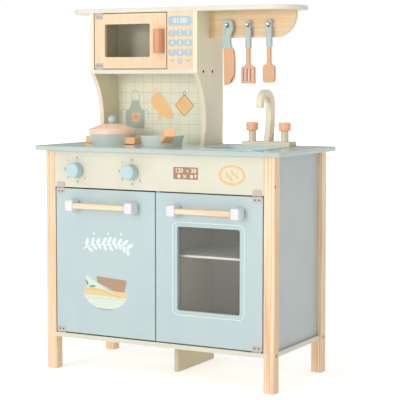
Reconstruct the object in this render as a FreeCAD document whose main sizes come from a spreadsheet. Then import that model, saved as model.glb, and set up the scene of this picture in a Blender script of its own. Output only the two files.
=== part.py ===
import FreeCAD, Part
import math
import os

import Sketcher
from FreeCAD import Placement, Rotation, Vector

# A wooden play kitchen: four posts carry a worktop with a drop-in sink, a two-door cupboard
# below it, and a tower with a small microwave and a hook rail above it.
# X runs to the right along the front, Y runs to the back, Z is up, in millimetres. The origin is
# on the floor, in the middle of the cupboard's width and depth. Sizes along Y are given from the
# front faces of the posts, and place() takes half the depth off them.

CELLS = {
    # cabinet
    "width": 580, "depth": 275, "worktop_base": 506, "post": 25, "board": 10,
    "thin_board": 5, "side_inset": 10, "shelf_drop": 4, "floor_gap": 76, "tenon": 10,
    "back_inset": 8, "door_gap": 3, "mid_gap": 2.5, "panel_base": 422.5,
    "oven_shelf_top": 282, "foot_front": 101, "foot_offset": 4, "edge_soft": 1.2,
    # worktop and sink
    "top_overhang": 23, "top_front": 18.5, "top_back": 1.5, "top_corner": 12,
    "sink_x": 163, "sink_y": 107, "sink_wide": 150, "sink_deep": 155, "sink_corner": 22,
    "sink_drop": 58, "sink_wall": 2.5, "sink_lip": 6, "sink_lip_thick": 1.6,
    "sink_clear": 1,
    # doors
    "pivot_edge": 5, "window_wide": 153, "window_tall": 184.5, "window_corner": 5,
    "window_base": 73.5, "trim_wide": 178, "trim_tall": 207, "trim_corner": 14,
    "trim_line": 2.4, "trim_depth": 0.8, "pane_thick": 1.5, "pane_lap": 9,
    "cap_wide": 21, "cap_tall": 25, "cap_out": 30, "cap_soft": 4, "handle_span": 177,
    "cap_base": 281.5, "bar_tall": 12, "bar_thick": 11, "bar_set": 1.5,
    # pivots of the doors
    "plate_wide": 21, "plate_tall": 12, "plate_thick": 1, "plate_edge": 2.5,
    "pin_radius": 2, "pin_clear": 0.05, "pin_long": 9, "plate_corner": 2.5,
    # control knobs
    "knob_left_x": 206, "knob_right_x": 61, "knob_z": 462.5, "knob_radius": 16.8,
    "knob_out": 21, "knob_soft": 3.5, "knob_gap": 0.5, "spindle_radius": 4,
    "spindle_clear": 0.08, "spindle_in": 12, "spindle_back": 15, "washer_radius": 8,
    "washer_gap": 0.3,
    # tower
    "tower_left": 263, "tower_wide": 288, "tower_deep": 127, "tower_tall": 306,
    "bite_radius": 155, "bite_rise": 59, "bite_neck": 84, "cell_base": 164,
    "tower_back": 15, "tower_back_thick": 5, "top_left": 335, "top_long": 600,
    "oven_door_left": 2.5, "oven_door_wide": 195, "oven_gap": 2, "pad_left": 210,
    "mini_wide": 122.5, "mini_tall": 76.5, "mini_left": 28.5, "mini_base": 27,
    "mini_corner": 3.5, "mini_pivot_edge": 5, "mini_plate_tall": 13,
    "grip_wide": 24, "grip_tall": 55, "grip_out": 18, "grip_left": 166,
    "grip_base": 36, "mini_pin_radius": 1.5, "mini_plate_thick": 0.8,
    # rail, pegs and tools
    "rail_long": 218, "rail_tall": 60, "rail_corner": 52, "rail_front": 206.5,
    "peg_first": 77.3, "peg_step": 52.3, "peg_drop": 30.5, "peg_radius": 2,
    "peg_out": 18.5, "ball_radius": 4, "peg_clear": 0.1, "peg_in": 8, "disc_radius": 9.7, "disc_thick": 3,
    "eye_radius": 4.5, "tool_thick": 8, "tool_front": 193.5, "tool_long": 148,
    "grip_long": 63.5, "eye_drop": 13, "knife_eye_in": 12.3, "knife_wide": 30.5,
    "knife_grip": 23.5, "knife_step": 2.5, "grip_half": 6.2, "neck_half": 4.3,
    "turner_half": 16.4, "turner_shoulder": 106, "slot_pitch": 8.8, "slot_wide": 5.2,
    "slot_long": 27, "spatula_half": 14.6, "spatula_shoulder": 103, "spatula_soft": 7,
    # tap
    "tap_x": 165, "tap_base_long": 120, "tap_base_deep": 38, "tap_base_y": 214,
    "tap_base_thick": 10, "spout_thick": 14, "tap_y": 230, "tap_spread": 41,
    "dowel_radius": 8.8, "dowel_tall": 24.5, "tap_knob_radius": 13.7,
    "tap_knob_tall": 18.5, "tap_knob_soft": 2.2, "stud_radius": 3, "stud_tall": 12,
    "stud_clear": 0.05, "spout_rise": 82, "arch_out": 36, "arch_in": 18.6,
    "spout_drop": 4.5, "stem_foot": 29, "stem_back": 5, "spout_lean": 52,
    # pot, lid and pan
    "pot_left": 258, "pot_rear": 57, "pot_rim": 55, "pot_foot": 48, "pot_tall": 24,
    "pot_wall": 2.5, "pot_turn": -11, "lug_long": 28, "lug_wide": 21, "lug_tall": 15,
    "lug_base": 1.5, "lid_rise": 24, "lid_over": 0.5, "lid_edge_tall": 7, "lid_skirt": 5,
    "lid_clear": 0.6, "lid_wall": 2.5, "lid_shoulder": 5, "ball_knob": 9.8,
    "pan_x": -48, "pan_y": 114, "pan_rim": 50.5, "pan_foot": 44.5, "pan_tall": 24,
    "pan_handle_long": 55, "pan_handle_wide": 25, "pan_handle_tall": 18,
    "pan_handle_turn": -48.5, "pan_handle_lift": 19.5, "pan_handle_base": 5,
    # bolts
    "bolt_head": 3.7, "bolt_head_tall": 2.5, "bolt_shank": 2.5, "bolt_long": 28,
    "bolt_sunk": 6, "bolt_clear": 0.1,
}

doc = FreeCAD.newDocument("PlayKitchen")
sheet = doc.addObject("Spreadsheet::Sheet", "sizes")
for row, (alias, value) in enumerate(CELLS.items(), start=1):
    sheet.set("A%d" % row, alias)
    sheet.set("B%d" % row, str(value))
    sheet.setAlias("B%d" % row, alias)
doc.recompute()


class Size:
    """A length that knows its value and the sheet expression that gives it."""

    def __init__(self, value, text):
        self.value = float(value)
        self.text = text

    def _join(self, other, sign, swap=False):
        other = as_size(other)
        first, second = (other, self) if swap else (self, other)
        value = {
            "+": first.value + second.value,
            "-": first.value - second.value,
            "*": first.value * second.value,
        }.get(sign)
        if sign == "/":
            value = first.value / second.value
        return Size(value, "(%s %s %s)" % (first.text, sign, second.text))

    def __add__(self, other):
        return self._join(other, "+")

    def __radd__(self, other):
        return self._join(other, "+", True)

    def __sub__(self, other):
        return self._join(other, "-")

    def __rsub__(self, other):
        return self._join(other, "-", True)

    def __mul__(self, other):
        return self._join(other, "*")

    def __rmul__(self, other):
        return self._join(other, "*", True)

    def __truediv__(self, other):
        return self._join(other, "/")

    def __neg__(self):
        return 0 - self


def as_size(value):
    return value if isinstance(value, Size) else Size(value, repr(float(value)))


class Sizes:
    """Every cell of the sheet, read as S.alias."""

    def __getattr__(self, alias):
        return Size(CELLS[alias], "sizes." + alias)


S = Sizes()
nodes = []


def bind(obj, prop, size):
    """Bind one property of an object to the sheet."""
    size = as_size(size)
    if prop in obj.PropertiesList:
        setattr(obj, prop, size.value)
    obj.setExpression(prop, size.text)


def place(obj, at, turn=None, loose=False):
    """Put an object at a corner or centre that follows the sheet.

    A loose object is a tool for a piece that is itself placed later.
    """
    at = [as_size(v) for v in at]
    if not loose:
        at[1] = at[1] - S.depth / 2
    rotation = Rotation(*turn) if turn else Rotation()
    obj.Placement = Placement(Vector(*[v.value for v in at]), rotation)
    for axis, size in zip("xyz", at):
        obj.setExpression("Placement.Base." + axis, size.text)


def node(obj, name):
    """Make an object a sub-part with this name."""
    obj.Label = name
    nodes.append(obj)
    return obj


def box(tag, low, high, loose=False):
    """A plain board between two opposite corners."""
    obj = doc.addObject("Part::Box", tag)
    low = [as_size(v) for v in low]
    high = [as_size(v) for v in high]
    for prop, a, b in zip(("Length", "Width", "Height"), low, high):
        bind(obj, prop, b - a)
    place(obj, low, loose=loose)
    return obj


TURNS = {
    "+z": None,
    "+y": (Vector(1, 0, 0), -90),
    "-y": (Vector(1, 0, 0), 90),
    "+x": (Vector(0, 1, 0), 90),
    "-x": (Vector(0, 1, 0), -90),
    "-z": (Vector(1, 0, 0), 180),
}


def rod(tag, at, along, radius, length):
    """A round bar that starts at a point and runs along an axis."""
    obj = doc.addObject("Part::Cylinder", tag)
    bind(obj, "Radius", radius)
    bind(obj, "Height", length)
    place(obj, at, TURNS[along])
    return obj


def cut(tag, base, *tools):
    """Take the tools from the base, one after the other."""
    for number, tool in enumerate(tools):
        obj = doc.addObject("Part::Cut", "%s_cut%d" % (tag, number))
        obj.Base = base
        obj.Tool = tool
        base = obj
    return base


def fuse(tag, base, *tools):
    for number, tool in enumerate(tools):
        obj = doc.addObject("Part::Fuse", "%s_fuse%d" % (tag, number))
        obj.Base = base
        obj.Tool = tool
        base = obj
    return base


def group(name, parts):
    """Several separate solids of one kind in one sub-part."""
    obj = doc.addObject("Part::Compound", name)
    obj.Links = parts
    return node(obj, name)


def soften(tag, base, radius, chosen):
    """Round the edges of a Part object that the test picks."""
    doc.recompute()
    obj = doc.addObject("Part::Fillet", tag)
    obj.Base = base
    obj.Edges = [
        (number, radius.value, radius.value)
        for number, edge in enumerate(base.Shape.Edges, start=1)
        if chosen(edge)
    ]
    return obj


def along_axis(edge, axis):
    """True for a straight edge that runs along this axis."""
    if not isinstance(edge.Curve, Part.Line):
        return False
    return abs(abs(edge.Curve.Direction.dot(axis)) - 1) < 1e-6


def new_body(name):
    return doc.addObject("PartDesign::Body", name)


def new_sketch(body, plane, tag):
    sketch = body.newObject("Sketcher::SketchObject", tag)
    origin = [f for f in body.Origin.OriginFeatures if f.Role == plane + "_Plane"][0]
    sketch.AttachmentSupport = [(origin, "")]
    sketch.MapMode = "FlatFace"
    return sketch


def pin_point(sketch, geo, pos, x, y):
    """Hold a sketch point at a distance from the sketch's origin."""
    for kind, axis, size in (("DistanceX", -2, as_size(x)), ("DistanceY", -1, as_size(y))):
        if abs(size.value) < 1e-9:
            sketch.addConstraint(Sketcher.Constraint("PointOnObject", geo, pos, axis))
            continue
        number = sketch.addConstraint(
            Sketcher.Constraint(kind, -1, 1, geo, pos, size.value)
        )
        sketch.setExpression("Constraints[%d]" % number, size.text)


def draw(sketch, start, runs):
    """A closed outline: each run is (x, y), or (x, y, radius, side) for an arc to that point."""
    here = [as_size(v) for v in start]
    first = len(sketch.Geometry)
    for run in runs:
        to = [as_size(v) for v in run[:2]]
        a = Vector(here[0].value, here[1].value, 0)
        b = Vector(to[0].value, to[1].value, 0)
        if len(run) == 2:
            geo = sketch.addGeometry(Part.LineSegment(a, b), False)
            sketch_start = 1
        else:
            radius, side = as_size(run[2]), run[3]
            chord = b - a
            half = chord.Length / 2
            reach = math.sqrt(max(radius.value**2 - half**2, 0))
            centre = (a + b) * 0.5 - Vector(-chord.y, chord.x, 0).normalize() * reach * side
            # an arc is always stored anticlockwise, so one that bulges left runs backwards
            first_end, last_end = (a, b) if side < 0 else (b, a)
            angles = [
                math.atan2(end.y - centre.y, end.x - centre.x) for end in (first_end, last_end)
            ]
            circle = Part.Circle(centre, Vector(0, 0, 1), max(radius.value, half))
            geo = sketch.addGeometry(Part.ArcOfCircle(circle, *angles), False)
            sketch_start = 1 if side < 0 else 2
            if radius.value - half > 1e-6:
                number = sketch.addConstraint(
                    Sketcher.Constraint("Radius", geo, radius.value)
                )
                sketch.setExpression("Constraints[%d]" % number, radius.text)
        pin_point(sketch, geo, sketch_start, *here)
        here = to
        if geo > first:
            sketch.addConstraint(
                Sketcher.Constraint("Coincident", *joined, geo, sketch_start)
            )
        else:
            opening = (geo, sketch_start)
        joined = (geo, 3 - sketch_start)
    sketch.addConstraint(Sketcher.Constraint("Coincident", *joined, *opening))


def rectangle(x0, y0, x1, y1, radius=None):
    """The start and runs of a rectangle, with round corners if there is a radius."""
    if radius is None:
        return (x0, y0), [(x1, y0), (x1, y1), (x0, y1), (x0, y0)]
    r = radius
    return (x0 + r, y0), [
        (x1 - r, y0), (x1, y0 + r, r, -1),
        (x1, y1 - r), (x1 - r, y1, r, -1),
        (x0 + r, y1), (x0, y1 - r, r, -1),
        (x0, y0 + r), (x0 + r, y0, r, -1),
    ]


def pad(body, plane, outlines, thickness, tag):
    """Pad outlines towards +X, +Y or +Z of the body; inner outlines are holes."""
    sketch = new_sketch(body, plane, tag + "_sketch")
    for start, runs in outlines:
        draw(sketch, start, runs)
    doc.recompute()
    feature = body.newObject("PartDesign::Pad", tag)
    feature.Profile = sketch
    bind(feature, "Length", thickness)
    feature.Reversed = plane == "XZ"
    body.Tip = feature
    return feature


def plate(name, plane, outlines, thickness, at):
    """A board cut to an outline, as a body of its own."""
    body = new_body(name)
    pad(body, plane, outlines, thickness, name + "_pad")
    place(body, at)
    return body


def turned(name, outline, at, along="+z", as_node=True):
    """A turned piece: an outline of (radius, height) points spun about the body's Z axis."""
    body = new_body(name)
    sketch = new_sketch(body, "XZ", name + "_sketch")
    draw(sketch, outline[0], outline[1])
    doc.recompute()
    feature = body.newObject("PartDesign::Revolution", name + "_turn")
    feature.Profile = sketch
    feature.ReferenceAxis = (sketch, ["V_Axis"])
    feature.Angle = 360
    body.Tip = feature
    place(body, at, TURNS[along])
    return node(body, name) if as_node else body


half = S.width / 2
inner = half - S.post
top_z = S.worktop_base + S.board
floor_top = S.floor_gap + S.board
panel_out = half - S.side_inset
edge_x = half - S.shelf_drop

# ---------------------------------------------------------------- frame of the cupboard
# Each post has a housing on its inner side, open to the front, for the bottom board, and a
# countersunk bolt hole from outside wherever a board ends on it.
bolt_marks = []


def bolt_hole(tag, at, along, depth_of_bore):
    """The sunk hole and the bore for one bolt."""
    head = rod(tag + "_sink", at, along, S.bolt_head + S.bolt_clear, S.bolt_sunk)
    bore = rod(tag + "_bore", at, along, S.bolt_shank + S.bolt_clear, depth_of_bore)
    return [head, bore]


for side, sign in (("l", -1), ("r", 1)):
    for end, y0 in (("f", as_size(0)), ("r", S.depth - S.post)):
        tag = "post_%s%s" % (end, side)
        x0 = -half if sign < 0 else inner
        blank = box(tag + "_blank", (x0, y0, 0), (x0 + S.post, y0 + S.post, S.worktop_base))
        soft = soften(
            tag + "_soft", blank, S.edge_soft, lambda e: along_axis(e, Vector(0, 0, 1))
        )
        n0 = -inner - S.tenon if sign < 0 else inner
        housing = box(
            tag + "_housing", (n0, y0, S.floor_gap), (n0 + S.tenon, y0 + S.post, floor_top)
        )
        outside = sign * half
        inward = "+x" if sign < 0 else "-x"
        low = (outside, y0 + S.post / 2, S.floor_gap + S.board / 2)
        holes = bolt_hole(tag + "_low", low, inward, S.post)
        bolt_marks.append((low, inward))
        if end == "f":
            high = (outside, S.board / 2, S.panel_base + 20)
            holes += bolt_hole(tag + "_high", high, inward, S.post)
            bolt_marks.append((high, inward))
        node(cut(tag, soft, housing, *holes), tag)

# The bottom board reaches over the side panels, and its narrower ends sit in the housings.
wide = edge_x * 2
notch = edge_x - inner - S.tenon
bottom = plate(
    "bottom_board_blank",
    "XY",
    [(
        (notch, 0),
        [
            (wide - notch, 0), (wide - notch, S.post), (wide, S.post),
            (wide, S.depth - S.post), (wide - notch, S.depth - S.post),
            (wide - notch, S.depth), (notch, S.depth), (notch, S.depth - S.post),
            (0, S.depth - S.post), (0, S.post), (notch, S.post), (notch, 0),
        ],
    )],
    S.board,
    (-edge_x, 0, S.floor_gap),
)
bottom_bores = [
    rod("bottom_bore%d" % n, at, along, S.bolt_shank + S.bolt_clear, S.post + 22)
    for n, (at, along) in enumerate(m for m in bolt_marks if m[0][2].value < 200)
]
node(cut("bottom_board", bottom, *bottom_bores), "bottom_board")

for side, sign in (("l", -1), ("r", 1)):
    x0 = -panel_out if sign < 0 else panel_out - S.board
    node(
        box(
            "side_panel_" + side,
            (x0, S.post, floor_top),
            (x0 + S.board, S.depth - S.post, S.worktop_base),
        ),
        "side_panel_" + side,
    )

back_y = S.depth - S.back_inset - S.thin_board
node(
    box(
        "back_panel",
        (-inner, back_y, floor_top),
        (inner, back_y + S.thin_board, S.worktop_base),
    ),
    "back_panel",
)
divider_front = S.board + 2
node(
    box(
        "centre_divider",
        (-S.board / 2, divider_front, floor_top),
        (S.board / 2, back_y, S.worktop_base),
    ),
    "centre_divider",
)
node(
    box(
        "oven_shelf",
        (S.board / 2, S.post + 1, S.oven_shelf_top - S.thin_board),
        (panel_out - S.board, S.depth - S.post, S.oven_shelf_top),
    ),
    "oven_shelf",
)
foot_x = -S.board / 2 - S.foot_offset
node(
    box(
        "centre_foot",
        (foot_x, S.foot_front, 0),
        (foot_x + S.board, S.depth, S.floor_gap),
    ),
    "centre_foot",
)

# ---------------------------------------------------------------- control panel and its knobs
spindle_bore = S.spindle_radius + S.spindle_clear
panel = box("control_panel_blank", (-inner, 0, S.panel_base), (inner, S.board, S.worktop_base))
panel_holes = [
    rod("knob_bore%d" % n, (-x, 0, S.knob_z), "+y", spindle_bore, S.board)
    for n, x in enumerate((S.knob_left_x, S.knob_right_x))
]
panel_holes += [
    rod("panel_bore%d" % n, at, along, S.bolt_shank + S.bolt_clear, S.post + 22)
    for n, (at, along) in enumerate(m for m in bolt_marks if m[0][2].value > 200)
]
node(cut("control_panel", panel, *panel_holes), "control_panel")

for side, x in (("l", S.knob_left_x), ("r", S.knob_right_x)):
    r, out, soft = S.knob_radius, S.knob_out, S.knob_soft
    seat = S.spindle_radius
    turned(
        "control_knob_" + side,
        (
            (seat, 0),
            [
                (r, 0), (r, out - soft), (r - soft, out, soft, -1), (0, out),
                (0, S.spindle_in), (seat, S.spindle_in), (seat, 0),
            ],
        ),
        (-x, -S.knob_gap, S.knob_z),
        "-y",
    )
    shaft, ring = S.spindle_radius, S.washer_radius
    near = S.spindle_in + S.knob_gap + S.board + S.washer_gap
    far = S.spindle_in + S.spindle_back
    turned(
        "knob_spindle_" + side,
        (
            (0, 0),
            [
                (shaft, 0), (shaft, near), (ring, near), (ring, near + 2.5),
                (shaft, near + 2.5), (shaft, far), (0, far), (0, 0),
            ],
        ),
        (-x, -S.knob_gap - S.spindle_in, S.knob_z),
        "+y",
    )

# ---------------------------------------------------------------- worktop and sink
top_wide = S.width + S.top_overhang * 2
top_deep = S.depth + S.top_front - S.top_back
r = S.top_corner
sx0 = half + S.top_overhang + S.sink_x - S.sink_wide / 2
sy0 = S.top_front + S.sink_y - S.sink_deep / 2
node(
    plate(
        "worktop",
        "XY",
        [
            (
                (r, 0),
                [
                    (top_wide - r, 0), (top_wide, r, r, -1), (top_wide, top_deep),
                    (0, top_deep), (0, r), (r, 0, r, -1),
                ],
            ),
            rectangle(sx0, sy0, sx0 + S.sink_wide, sy0 + S.sink_deep, S.sink_corner),
        ],
        S.board,
        (-half - S.top_overhang, -S.top_front, S.worktop_base),
    ),
    "worktop",
)

# The basin hangs in the cut-out by its lip and lifts straight out.
basin = new_body("sink_basin")
lip, clear, wall = S.sink_lip, S.sink_clear, S.sink_wall
lip_wide = S.sink_wide + lip * 2
lip_deep = S.sink_deep + lip * 2
tub = lip + clear
pad(
    basin, "XY",
    [rectangle(as_size(0), as_size(0), lip_wide, lip_deep, S.sink_corner + lip)],
    S.sink_lip_thick, "basin_lip",
)
sketch = new_sketch(basin, "XY", "basin_tub_sketch")
draw(sketch, *rectangle(tub, tub, lip_wide - tub, lip_deep - tub, S.sink_corner - clear))
tub_pad = basin.newObject("PartDesign::Pad", "basin_tub")
tub_pad.Profile = sketch
tub_pad.Reversed = True
bind(tub_pad, "Length", S.sink_drop)
basin.Tip = tub_pad
sketch = new_sketch(basin, "XY", "basin_hollow_sketch")
sketch.AttachmentOffset = Placement(Vector(0, 0, CELLS["sink_lip_thick"]), Rotation())
sketch.setExpression("AttachmentOffset.Base.z", "sizes.sink_lip_thick")
draw(
    sketch,
    *rectangle(
        tub + wall, tub + wall, lip_wide - tub - wall, lip_deep - tub - wall,
        S.sink_corner - clear - wall,
    ),
)
hollow = basin.newObject("PartDesign::Pocket", "basin_hollow")
hollow.Profile = sketch
bind(hollow, "Length", S.sink_drop + S.sink_lip_thick - wall)
basin.Tip = hollow
place(
    basin,
    (
        S.sink_x - S.sink_wide / 2 - lip,
        S.sink_y - S.sink_deep / 2 - lip,
        top_z,
    ),
)
node(basin, "sink_basin")

# ---------------------------------------------------------------- tap
base_x = S.tap_x - S.tap_base_long / 2
tap_low = box(
    "tap_base_blank",
    (base_x, S.tap_base_y, top_z),
    (base_x + S.tap_base_long, S.tap_base_y + S.tap_base_deep, top_z + S.tap_base_thick),
)
node(tap_low, "tap_base")
tap_z = top_z + S.tap_base_thick
# The spout is sawn from one board: a leaning stem, a round arch and a short outlet.
rise, out_r, in_r = S.spout_rise, S.arch_out, S.arch_in
back = out_r * 2
heel = back - S.stem_back
toe = heel - S.stem_foot
lead = (back - in_r * 2) * 0.43
spout = plate(
    "tap_spout_blank",
    "YZ",
    [(
        (toe, 0),
        [
            (heel, 0), (back, rise, 400, -1), (0, rise, out_r, -1), (0, rise - S.spout_drop),
            (lead, rise - S.spout_drop), (lead, rise), (lead + in_r * 2, rise, in_r, 1),
            (toe, 0, 230, 1),
        ],
    )],
    S.spout_thick,
    (S.tap_x - S.spout_thick / 2, S.tap_y - S.spout_lean, tap_z),
)
tap_screw = (S.tap_x + S.spout_thick / 2, S.tap_y + 7, tap_z + 11)
tap_hole = rod("tap_hole", tap_screw, "-x", S.stud_radius, S.spout_thick / 2)
node(cut("tap_spout", spout, tap_hole), "tap_spout")
dowels = []
for side, sign in (("l", -1), ("r", 1)):
    x = S.tap_x + sign * S.tap_spread
    post = rod("tap_dowel_" + side, (x, S.tap_y, tap_z), "+z", S.dowel_radius, S.dowel_tall)
    stud = rod(
        "tap_stud_" + side, (x, S.tap_y, tap_z + S.dowel_tall - 2), "+z",
        S.stud_radius, S.stud_tall + 2,
    )
    dowels.append(fuse("tap_dowel_whole_" + side, post, stud))
    kr, kt, ks = S.tap_knob_radius, S.tap_knob_tall, S.tap_knob_soft
    bore = S.stud_radius + S.stud_clear
    turned(
        "tap_knob_" + side,
        (
            (bore, 0),
            [
                (kr - ks, 0), (kr, ks, ks, -1), (kr, kt - ks), (kr - ks, kt, ks, -1), (0, kt),
                (0, S.stud_tall + 0.5), (bore, S.stud_tall + 0.5), (bore, 0),
            ],
        ),
        (x, S.tap_y, tap_z + S.dowel_tall),
    )
group("tap_dowels", dowels)

# ---------------------------------------------------------------- cupboard doors
door_base = floor_top + S.door_gap
door_tall = S.panel_base - S.door_gap - door_base
door_wide = inner - S.door_gap + 0.5 - S.mid_gap / 2
pivot_x = inner - S.door_gap + 0.5 - S.pivot_edge
pin_bore = S.pin_radius + S.pin_clear


def pin_bores(tag, x, y, base, tall, radius, deep):
    """The blind holes for the pivots in a door's two ends."""
    return [
        rod(tag + "_top_bore", (x, y, base + tall - deep), "+z", radius, deep),
        rod(tag + "_low_bore", (x, y, base), "+z", radius, deep),
    ]


pin_deep = S.pin_long + 1
left_x = -(inner - S.door_gap + 0.5)
left_blank = box(
    "door_l_blank", (left_x, 0, door_base), (left_x + door_wide, S.board, door_base + door_tall)
)
left_soft = soften(
    "door_l_soft", left_blank, S.edge_soft, lambda e: along_axis(e, Vector(0, 0, 1))
)
node(
    cut(
        "door_l", left_soft,
        *pin_bores("door_l", -pivot_x, S.board / 2, door_base, door_tall, pin_bore, pin_deep),
    ),
    "door_l",
)

right_blank = box(
    "door_r_blank",
    (S.mid_gap / 2, 0, door_base),
    (S.mid_gap / 2 + door_wide, S.board, door_base + door_tall),
)
right_soft = soften(
    "door_r_soft", right_blank, S.edge_soft, lambda e: along_axis(e, Vector(0, 0, 1))
)
win_x = S.mid_gap / 2 + (door_wide - S.window_wide) / 2
window = plate(
    "oven_window_cut",
    "XZ",
    [rectangle(as_size(0), as_size(0), S.window_wide, S.window_tall, S.window_corner)],
    S.board,
    (win_x, 0, door_base + S.window_base),
)
line_x = (S.trim_wide - S.window_wide) / 2
line_z = (S.trim_tall - S.window_tall) / 2
line = S.trim_line
trim = plate(
    "oven_trim_cut",
    "XZ",
    [
        rectangle(as_size(0), as_size(0), S.trim_wide, S.trim_tall, S.trim_corner),
        rectangle(line, line, S.trim_wide - line, S.trim_tall - line, S.trim_corner - line),
    ],
    S.trim_depth,
    (win_x - line_x, 0, door_base + S.window_base - line_z),
)
node(
    cut(
        "door_r", right_soft, window, trim,
        *pin_bores("door_r", pivot_x, S.board / 2, door_base, door_tall, pin_bore, pin_deep),
    ),
    "door_r",
)
lap = S.pane_lap
node(
    box(
        "oven_pane",
        (win_x - lap, S.board, door_base + S.window_base - lap),
        (
            win_x + S.window_wide + lap, S.board + S.pane_thick,
            door_base + S.window_base + S.window_tall + lap,
        ),
    ),
    "oven_pane",
)

# Each handle is two soft blocks with a bar between them.
for side, middle in (
    ("l", left_x + door_wide / 2),
    ("r", S.mid_gap / 2 + door_wide / 2),
):
    base = door_base + S.cap_base
    ends = []
    for end, x in (
        ("a", middle - S.handle_span / 2),
        ("b", middle + S.handle_span / 2 - S.cap_wide),
    ):
        tag = "handle_cap_%s%s" % (side, end)
        blank = box(tag, (x, -S.cap_out, base), (x + S.cap_wide, 0, base + S.cap_tall))
        ends.append(soften(
            tag + "_soft", blank, S.cap_soft,
            lambda e: e.BoundBox.YMin < -0.001,
        ))
    group("handle_caps_" + side, ends)
    bar_z = base + (S.cap_tall - S.bar_tall) / 2
    bar = box(
        "handle_bar_%s_blank" % side,
        (
            middle - S.handle_span / 2 + S.cap_wide,
            -S.cap_out + S.bar_set,
            bar_z,
        ),
        (
            middle + S.handle_span / 2 - S.cap_wide,
            -S.cap_out + S.bar_set + S.bar_thick,
            bar_z + S.bar_tall,
        ),
    )
    node(
        soften(
            "handle_bar_%s_soft" % side, bar, as_size(1.5),
            lambda e: along_axis(e, Vector(1, 0, 0)),
        ),
        "handle_bar_" + side,
    )


def angle_plate(tag, x0, x1, y0, y1, z_edge, up, tall, thick):
    """A small bent plate: one leg on the face at y0, one on the edge at z_edge."""
    out = z_edge + up * tall
    low, high = (z_edge, out) if up > 0 else (out, z_edge)
    face = box(tag + "_face", (x0, y0 - thick, low), (x1, y0, high))
    soft = soften(
        tag + "_round", face, S.plate_corner,
        lambda e: along_axis(e, Vector(0, 1, 0))
        and abs(e.BoundBox.ZMin - out.value) < 0.01,
    )
    edge_low, edge_high = (z_edge - thick, z_edge) if up > 0 else (z_edge, z_edge + thick)
    edge = box(tag + "_edge", (x0, y0 - thick, edge_low), (x1, y1, edge_high))
    return fuse(tag, soft, edge)


def pivot_pair(tag, x, y0, y1, z_frame, z_door, thick, tall, radius, near, far, with_face):
    """The frame's plate with its pin, and the door's plate with its hole."""
    up = 1 if z_frame.value > z_door.value else -1
    deep = S.pin_long + abs(z_frame.value - z_door.value)
    if with_face:
        fixed = angle_plate(tag + "_fixed", near, far, y0, y1, z_frame, up, tall, thick)
    else:
        low = z_frame - thick if up > 0 else z_frame
        fixed = box(tag + "_fixed", (near, y0, low), (far, y1, low + thick))
    pin_top = z_frame - thick / 2 if up > 0 else z_frame + thick / 2
    pin = rod(tag + "_pin", (x, (y0 + y1) / 2, pin_top), "-z" if up > 0 else "+z", radius, deep)
    moving = angle_plate(tag + "_moving", near, far, y0, y1, z_door, -up, tall, thick)
    hole_low = z_door - 2
    hole = rod(
        tag + "_hole", (x, (y0 + y1) / 2, hole_low), "+z", radius + S.pin_clear, as_size(4)
    )
    return fuse(tag + "_frame", fixed, pin), cut(tag + "_door", moving, hole)


frame_plates = []
for side, sign in (("l", -1), ("r", 1)):
    x = sign * pivot_x
    near = x - S.plate_edge if sign < 0 else x + S.plate_edge - S.plate_wide
    far = near + S.plate_wide
    door_plates = []
    for end, z_frame, z_door in (
        ("top", S.panel_base, door_base + door_tall),
        ("low", floor_top, door_base),
    ):
        fixed, moving = pivot_pair(
            "pivot_%s_%s" % (side, end), x, as_size(0), S.board, z_frame, z_door,
            S.plate_thick, S.plate_tall, S.pin_radius, near, far, end == "top",
        )
        frame_plates.append(fixed)
        door_plates.append(moving)
    group("door_pivots_" + side, door_plates)
group("frame_pivots", frame_plates)

# ---------------------------------------------------------------- tower
tower_front = S.depth - 2 - S.tower_deep
tower_rear = S.depth - 2
shelf_z = top_z + S.cell_base
lid_z = top_z + S.tower_tall
tower_l = -S.tower_left
tower_r = tower_l + S.tower_wide
tower_bolts = []
for side, x0, outside, inward in (
    ("l", tower_l, tower_l, "+x"),
    ("r", tower_r - S.board, tower_r, "-x"),
):
    tag = "tower_side_" + side
    blank = box(tag + "_blank", (x0, tower_front, top_z), (x0 + S.board, tower_rear, lid_z))
    bite = rod(
        tag + "_bite",
        (x0 - 1, tower_rear - S.bite_neck - S.bite_radius, top_z + S.bite_rise),
        "+x", S.bite_radius, S.board + 2,
    )
    holes = []
    for n, y in enumerate((tower_front + 31, tower_front + 75)):
        at = (outside, y, shelf_z + S.board / 2)
        holes += [
            rod("%s_sink%d" % (tag, n), at, inward, S.bolt_head + S.bolt_clear, as_size(3)),
            rod("%s_bore%d" % (tag, n), at, inward, S.bolt_shank + S.bolt_clear, S.board),
        ]
        tower_bolts.append((at, inward))
    node(cut(tag, blank, bite, *holes), tag)

cell_l = tower_l + S.board
cell_r = tower_r - S.board
wall_y = tower_rear - S.tower_back - S.tower_back_thick
node(
    box("tower_back", (cell_l, wall_y, top_z), (cell_r, wall_y + S.tower_back_thick, lid_z)),
    "tower_back",
)
cell_floor = box("cell_floor_blank", (cell_l, tower_front, shelf_z), (
    cell_r, wall_y, shelf_z + S.board,
))
floor_bores = [
    rod("floor_bore%d" % n, at, along, S.bolt_shank + S.bolt_clear, S.board + 22)
    for n, (at, along) in enumerate(tower_bolts)
]
node(cut("microwave_floor", cell_floor, *floor_bores), "microwave_floor")

end_r = S.tower_deep / 2
node(
    plate(
        "top_board",
        "XY",
        [(
            (end_r, 0),
            [
                (S.top_long - end_r, 0),
                (S.top_long, end_r, end_r, -1),
                (S.top_long - end_r, S.tower_deep, end_r, -1),
                (end_r, S.tower_deep),
                (0, end_r, end_r, -1),
                (end_r, 0, end_r, -1),
            ],
        )],
        S.board,
        (-S.top_left, tower_front, lid_z),
    ),
    "top_board",
)

pad_x = tower_l + S.pad_left
cell_z = shelf_z + S.board
node(
    box("microwave_panel", (pad_x, tower_front, cell_z), (cell_r, tower_front + S.board, lid_z)),
    "microwave_panel",
)

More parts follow.
